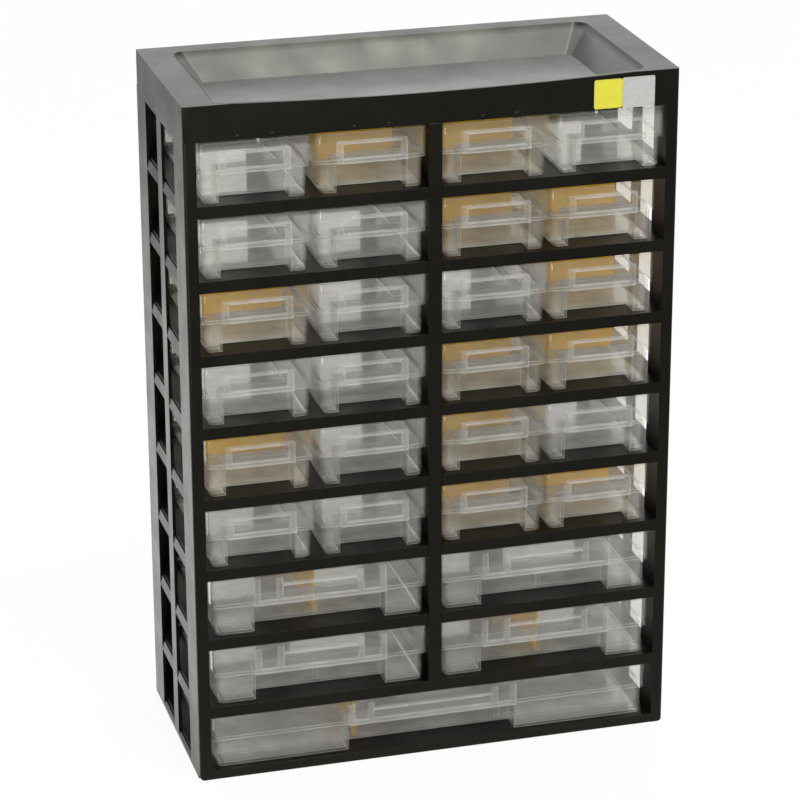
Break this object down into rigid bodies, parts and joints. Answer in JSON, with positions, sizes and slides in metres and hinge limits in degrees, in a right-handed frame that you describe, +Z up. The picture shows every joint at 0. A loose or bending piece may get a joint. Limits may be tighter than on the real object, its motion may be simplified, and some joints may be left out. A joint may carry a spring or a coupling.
{
  "type": "parts bin cabinet",
  "caption": "Upright bench cabinet for small parts: black lattice-sided housing with a storage tray on top and sliding translucent drawers, some with amber dividers.",
  "frame": {"origin": "on the floor plane, under the centre of the cabinet's bounding box", "axes": "+Z up; the drawers face -Y and slide out along -Y; +X to the right of someone facing the drawers"},
  "size_m": [0.306, 0.135, 0.437],
  "materials": {
    "black_housing": "satin moulded black plastic with a fine grain",
    "clear_drawer": "translucent natural plastic, slightly milky, smooth moulded faces",
    "amber_plate": "translucent amber moulded plastic"
  },
  "bodies": {
    "housing": {"left_side_panel": "black_housing", "right_side_panel": "black_housing", "top_tray": "black_housing", "base": "black_housing", "back_lattice": "black_housing", "centre_divider": "black_housing", "shelf_1": "black_housing", "shelf_2": "black_housing", "shelf_3": "black_housing", "shelf_4": "black_housing", "shelf_5": "black_housing", "shelf_6": "black_housing", "shelf_7": "black_housing", "shelf_8": "black_housing"},
    "drawer_r1_c1": {"drawer_r1_c1": "clear_drawer"},
    "drawer_r1_c2": {"drawer_r1_c2": "clear_drawer", "divider_r1_c2": "amber_plate"},
    "drawer_r1_c3": {"drawer_r1_c3": "clear_drawer", "divider_r1_c3": "amber_plate"},
    "drawer_r1_c4": {"drawer_r1_c4": "clear_drawer"},
    "drawer_r2_c1": {"drawer_r2_c1": "clear_drawer"},
    "drawer_r2_c2": {"drawer_r2_c2": "clear_drawer"},
    "drawer_r2_c3": {"drawer_r2_c3": "clear_drawer", "divider_r2_c3": "amber_plate"},
    "drawer_r2_c4": {"drawer_r2_c4": "clear_drawer", "divider_r2_c4": "amber_plate"},
    "drawer_r3_c1": {"drawer_r3_c1": "clear_drawer", "divider_r3_c1": "amber_plate"},
    "drawer_r3_c2": {"drawer_r3_c2": "clear_drawer"},
    "drawer_r3_c3": {"drawer_r3_c3": "clear_drawer"},
    "drawer_r3_c4": {"drawer_r3_c4": "clear_drawer", "divider_r3_c4": "amber_plate"},
    "drawer_r4_c1": {"drawer_r4_c1": "clear_drawer"},
    "drawer_r4_c2": {"drawer_r4_c2": "clear_drawer"},
    "drawer_r4_c3": {"drawer_r4_c3": "clear_drawer", "divider_r4_c3": "amber_plate"},
    "drawer_r4_c4": {"drawer_r4_c4": "clear_drawer", "divider_r4_c4": "amber_plate"},
    "drawer_r5_c1": {"drawer_r5_c1": "clear_drawer", "divider_r5_c1": "amber_plate"},
    "drawer_r5_c2": {"drawer_r5_c2": "clear_drawer"},
    "drawer_r5_c3": {"drawer_r5_c3": "clear_drawer", "divider_r5_c3": "amber_plate"},
    "drawer_r5_c4": {"drawer_r5_c4": "clear_drawer"},
    "drawer_r6_c1": {"drawer_r6_c1": "clear_drawer"},
    "drawer_r6_c2": {"drawer_r6_c2": "clear_drawer"},
    "drawer_r6_c3": {"drawer_r6_c3": "clear_drawer", "divider_r6_c3": "amber_plate"},
    "drawer_r6_c4": {"drawer_r6_c4": "clear_drawer", "divider_r6_c4": "amber_plate"},
    "wide_drawer_r7_left": {"wide_drawer_r7_left": "clear_drawer", "divider_r7_left": "amber_plate"},
    "wide_drawer_r7_right": {"wide_drawer_r7_right": "clear_drawer"},
    "wide_drawer_r8_left": {"wide_drawer_r8_left": "clear_drawer"},
    "wide_drawer_r8_right": {"wide_drawer_r8_right": "clear_drawer", "divider_r8_right": "amber_plate"},
    "full_drawer": {"full_drawer": "clear_drawer", "divider_r9": "amber_plate"}
  },
  "joints": [
    {"name": "slide_r1_c1", "type": "slide", "parent": "housing", "child": "drawer_r1_c1", "axis": [0, -1, 0], "range_m": [0, 0.09]},
    {"name": "slide_r1_c2", "type": "slide", "parent": "housing", "child": "drawer_r1_c2", "axis": [0, -1, 0], "range_m": [0, 0.09]},
    {"name": "slide_r1_c3", "type": "slide", "parent": "housing", "child": "drawer_r1_c3", "axis": [0, -1, 0], "range_m": [0, 0.09]},
    {"name": "slide_r1_c4", "type": "slide", "parent": "housing", "child": "drawer_r1_c4", "axis": [0, -1, 0], "range_m": [0, 0.09]},
    {"name": "slide_r2_c1", "type": "slide", "parent": "housing", "child": "drawer_r2_c1", "axis": [0, -1, 0], "range_m": [0, 0.09]},
    {"name": "slide_r2_c2", "type": "slide", "parent": "housing", "child": "drawer_r2_c2", "axis": [0, -1, 0], "range_m": [0, 0.09]},
    {"name": "slide_r2_c3", "type": "slide", "parent": "housing", "child": "drawer_r2_c3", "axis": [0, -1, 0], "range_m": [0, 0.09]},
    {"name": "slide_r2_c4", "type": "slide", "parent": "housing", "child": "drawer_r2_c4", "axis": [0, -1, 0], "range_m": [0, 0.09]},
    {"name": "slide_r3_c1", "type": "slide", "parent": "housing", "child": "drawer_r3_c1", "axis": [0, -1, 0], "range_m": [0, 0.09]},
    {"name": "slide_r3_c2", "type": "slide", "parent": "housing", "child": "drawer_r3_c2", "axis": [0, -1, 0], "range_m": [0, 0.09]},
    {"name": "slide_r3_c3", "type": "slide", "parent": "housing", "child": "drawer_r3_c3", "axis": [0, -1, 0], "range_m": [0, 0.09]},
    {"name": "slide_r3_c4", "type": "slide", "parent": "housing", "child": "drawer_r3_c4", "axis": [0, -1, 0], "range_m": [0, 0.09]},
    {"name": "slide_r4_c1", "type": "slide", "parent": "housing", "child": "drawer_r4_c1", "axis": [0, -1, 0], "range_m": [0, 0.09]},
    {"name": "slide_r4_c2", "type": "slide", "parent": "housing", "child": "drawer_r4_c2", "axis": [0, -1, 0], "range_m": [0, 0.09]},
    {"name": "slide_r4_c3", "type": "slide", "parent": "housing", "child": "drawer_r4_c3", "axis": [0, -1, 0], "range_m": [0, 0.09]},
    {"name": "slide_r4_c4", "type": "slide", "parent": "housing", "child": "drawer_r4_c4", "axis": [0, -1, 0], "range_m": [0, 0.09]},
    {"name": "slide_r5_c1", "type": "slide", "parent": "housing", "child": "drawer_r5_c1", "axis": [0, -1, 0], "range_m": [0, 0.09]},
    {"name": "slide_r5_c2", "type": "slide", "parent": "housing", "child": "drawer_r5_c2", "axis": [0, -1, 0], "range_m": [0, 0.09]},
    {"name": "slide_r5_c3", "type": "slide", "parent": "housing", "child": "drawer_r5_c3", "axis": [0, -1, 0], "range_m": [0, 0.09]},
    {"name": "slide_r5_c4", "type": "slide", "parent": "housing", "child": "drawer_r5_c4", "axis": [0, -1, 0], "range_m": [0, 0.09]},
    {"name": "slide_r6_c1", "type": "slide", "parent": "housing", "child": "drawer_r6_c1", "axis": [0, -1, 0], "range_m": [0, 0.09]},
    {"name": "slide_r6_c2", "type": "slide", "parent": "housing", "child": "drawer_r6_c2", "axis": [0, -1, 0], "range_m": [0, 0.09]},
    {"name": "slide_r6_c3", "type": "slide", "parent": "housing", "child": "drawer_r6_c3", "axis": [0, -1, 0], "range_m": [0, 0.09]},
    {"name": "slide_r6_c4", "type": "slide", "parent": "housing", "child": "drawer_r6_c4", "axis": [0, -1, 0], "range_m": [0, 0.09]},
    {"name": "wide_slide_r7_left", "type": "slide", "parent": "housing", "child": "wide_drawer_r7_left", "axis": [0, -1, 0], "range_m": [0, 0.09]},
    {"name": "wide_slide_r7_right", "type": "slide", "parent": "housing", "child": "wide_drawer_r7_right", "axis": [0, -1, 0], "range_m": [0, 0.09]},
    {"name": "wide_slide_r8_left", "type": "slide", "parent": "housing", "child": "wide_drawer_r8_left", "axis": [0, -1, 0], "range_m": [0, 0.09]},
    {"name": "wide_slide_r8_right", "type": "slide", "parent": "housing", "child": "wide_drawer_r8_right", "axis": [0, -1, 0], "range_m": [0, 0.09]},
    {"name": "full_slide", "type": "slide", "parent": "housing", "child": "full_drawer", "axis": [0, -1, 0], "range_m": [0, 0.09]}
  ]
}
